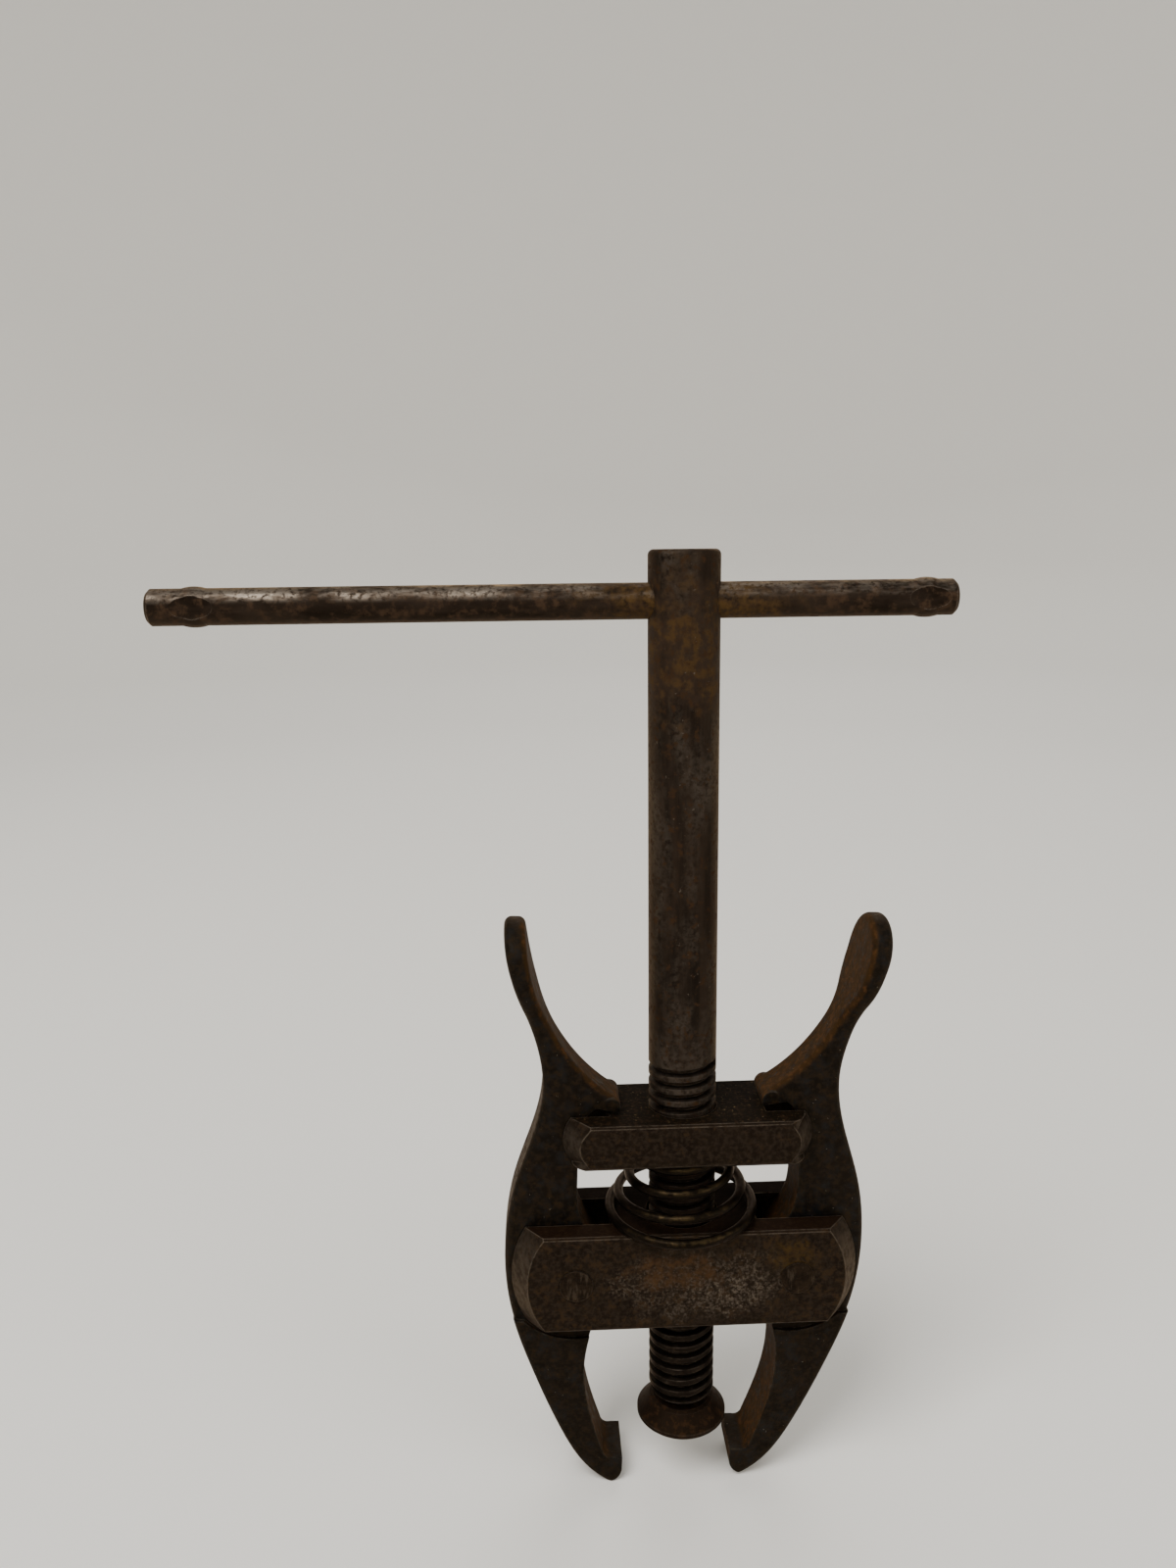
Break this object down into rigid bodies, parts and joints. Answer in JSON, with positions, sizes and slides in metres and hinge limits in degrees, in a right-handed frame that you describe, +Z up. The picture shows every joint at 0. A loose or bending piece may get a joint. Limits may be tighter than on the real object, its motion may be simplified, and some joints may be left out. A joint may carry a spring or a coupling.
{
  "type": "two-jaw screw puller",
  "caption": "Small self-gripping two-jaw screw puller with a sliding T-bar, thumb wings, a return spring between two slotted blocks and a swivel foot.",
  "frame": {"origin": "centre of the swivel foot's pressing face", "axes": "+Z up the forcing screw towards the T-bar, +X across the jaws, -Y the front"},
  "size_m": [0.1222, 0.0249, 0.1581],
  "materials": {
    "screw_steel": "dark oxidised steel, lightly rusted",
    "bar_steel": "dark oxidised steel with worn bright spots",
    "block_steel": "forged steel, brown patina",
    "pin_steel": "peened steel",
    "jaw_steel": "forged steel, black scale",
    "spring_steel": "oily spring wire",
    "foot_steel": "turned steel, rusted"
  },
  "bodies": {
    "yoke": {"lower_yoke": "block_steel", "pivot_pin_left": "pin_steel", "pivot_pin_right": "pin_steel", "jaw_spring": "spring_steel"},
    "jaw_left": {"jaw_left": "jaw_steel"},
    "jaw_right": {"jaw_right": "jaw_steel"},
    "crosshead": {"crosshead": "block_steel"},
    "foot": {"swivel_foot": "foot_steel"},
    "screw": {"forcing_screw": "screw_steel"},
    "bar": {"tommy_bar": "bar_steel"}
  },
  "joints": [
    {"name": "jaw_left_open", "type": "hinge", "parent": "yoke", "child": "jaw_left", "pos_m": [-0.0182, 0, 0.0302], "axis": [0, 1, 0], "range_deg": [0, 9], "stiffness_Nm_per_rad": 0.6, "springref_deg": -8.59},
    {"name": "jaw_right_open", "type": "hinge", "parent": "yoke", "child": "jaw_right", "pos_m": [0.0182, 0, 0.0302], "axis": [0, -1, 0], "range_deg": [0, 9]},
    {"name": "crosshead_drop", "type": "slide", "parent": "yoke", "child": "crosshead", "axis": [0, 0, -1], "range_m": [0, 0.00151], "deforming": ["jaw_spring"]},
    {"name": "foot_feed", "type": "slide", "parent": "crosshead", "child": "foot", "axis": [0, 0, 1], "range_m": [-0.008, 0.0175]},
    {"name": "screw_turn", "type": "hinge", "parent": "foot", "child": "screw", "pos_m": [0, 0, 0.1], "axis": [0, 0, 1], "range_deg": [-1343.4, 2958.9]},
    {"name": "bar_slide", "type": "slide", "parent": "screw", "child": "bar", "axis": [1, 0, 0], "range_m": [-0.0284, 0.0643]}
  ],
  "couplings": [
    {"joint": "jaw_right_open", "follows": "jaw_left_open", "ratio": 1},
    {"joint": "crosshead_drop", "follows": "jaw_left_open", "m_per_rad": 0.0096},
    {"joint": "foot_feed", "follows": "screw_turn", "m_per_rad": 0.00033693}
  ]
}
